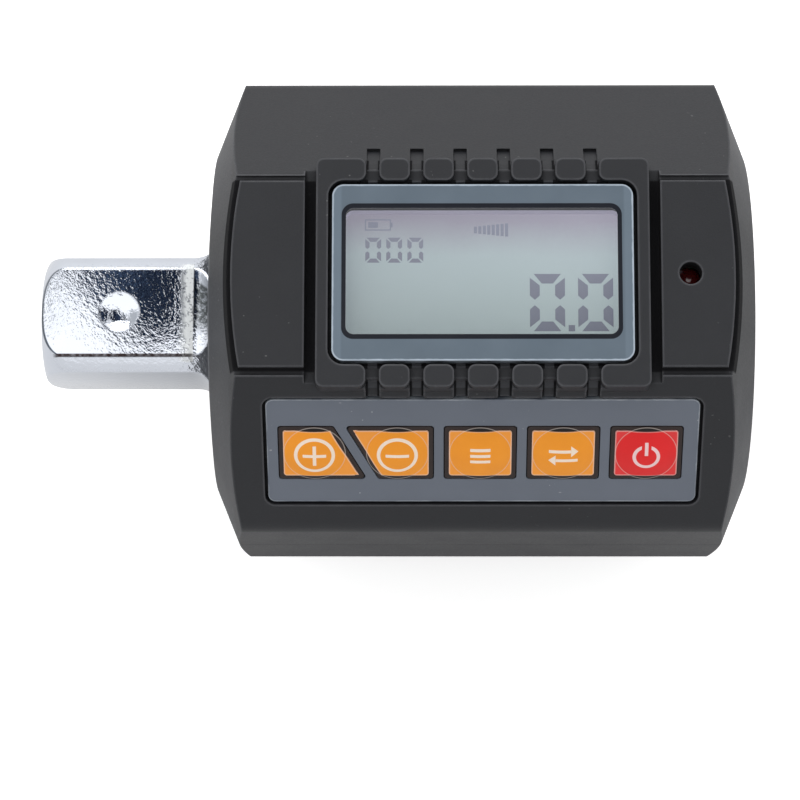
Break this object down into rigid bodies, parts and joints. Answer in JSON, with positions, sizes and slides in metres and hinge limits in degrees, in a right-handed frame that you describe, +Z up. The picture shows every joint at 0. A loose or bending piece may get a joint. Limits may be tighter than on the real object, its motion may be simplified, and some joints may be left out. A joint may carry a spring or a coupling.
{
  "type": "digital torque adapter",
  "caption": "Half-inch square drive torque adapter: eight-sided plastic housing with a digital display and push keys on a steel shaft, lying on its back.",
  "frame": {"origin": "centre of the bounding box at its base: the underside of the back flat, on which the adapter lies", "axes": "+X along the drive axis towards the square socket, the square drive points to -X; +Z up out of the display; the keys face -Y and up"},
  "size_m": [0.0768, 0.049, 0.05],
  "materials": {
    "shell": "fine matt moulded grain, charcoal",
    "steel": "polished chrome plate",
    "seal": "smooth black rubber",
    "lens": "clear plastic with a printed blue-grey border",
    "lcd": "grey-green liquid crystal glass",
    "white_plastic": "white moulded plastic",
    "strip": "elastic contact strip",
    "board": "green solder mask",
    "chip": "moulded black epoxy",
    "tin": "tinned bright metal",
    "capacitor": "fired ceramic",
    "lamp": "tinted red lamp body",
    "panel": "printed blue-grey film",
    "key_orange": "glossy film over orange print",
    "key_red": "glossy film over red print",
    "plunger": "ivory plastic",
    "foil": "etched foil on amber film",
    "ribbon": "amber film ribbon",
    "cell": "plain printed sleeve over a steel can",
    "spring": "nickel plated wire",
    "lead": "insulated wire",
    "screw": "blackened steel"
  },
  "bodies": {
    "housing": {"front_shell": "shell", "back_shell": "shell", "torque_shaft": "steel", "drive_end_seal": "seal", "socket_end_seal": "seal", "strain_gauges": "foil", "gauge_ribbon": "ribbon", "display_lens": "lens", "lcd_glass": "lcd", "lcd_backlight": "white_plastic", "lcd_holder": "white_plastic", "lcd_contact_strips": "strip", "main_board": "board", "microcontroller": "chip", "gauge_amplifier": "chip", "crystal": "tin", "capacitors": "capacitor", "buzzer": "chip", "alarm_lamp": "lamp", "key_panel": "panel", "key_switches": "chip", "key_board": "board", "key_ribbon": "ribbon", "cell_left": "cell", "cell_right": "cell", "battery_springs": "spring", "battery_contacts": "tin", "battery_leads": "lead", "housing_screws": "screw", "board_screws": "tin", "key_board_screws": "tin"},
    "plus_key": {"key_plus": "key_orange", "plunger_plus": "plunger"},
    "minus_key": {"key_minus": "key_orange", "plunger_minus": "plunger"},
    "mode_key": {"key_mode": "key_orange", "plunger_mode": "plunger"},
    "unit_key": {"key_unit": "key_orange", "plunger_unit": "plunger"},
    "power_key": {"key_power": "key_red", "plunger_power": "plunger"},
    "door": {"battery_door": "shell"}
  },
  "joints": [
    {"name": "plus_press", "type": "slide", "parent": "housing", "child": "plus_key", "axis": [0, 0.7071, -0.7071], "range_m": [0, 0.0004], "stiffness_N_per_m": 1000},
    {"name": "minus_press", "type": "slide", "parent": "housing", "child": "minus_key", "axis": [0, 0.7071, -0.7071], "range_m": [0, 0.0004], "stiffness_N_per_m": 1000},
    {"name": "mode_press", "type": "slide", "parent": "housing", "child": "mode_key", "axis": [0, 0.7071, -0.7071], "range_m": [0, 0.0004], "stiffness_N_per_m": 1000},
    {"name": "unit_press", "type": "slide", "parent": "housing", "child": "unit_key", "axis": [0, 0.7071, -0.7071], "range_m": [0, 0.0004], "stiffness_N_per_m": 1000},
    {"name": "power_press", "type": "slide", "parent": "housing", "child": "power_key", "axis": [0, 0.7071, -0.7071], "range_m": [0, 0.0004], "stiffness_N_per_m": 1000},
    {"name": "door_slide", "type": "slide", "parent": "housing", "child": "door", "axis": [1, 0, 0], "range_m": [0, 0.052]}
  ]
}
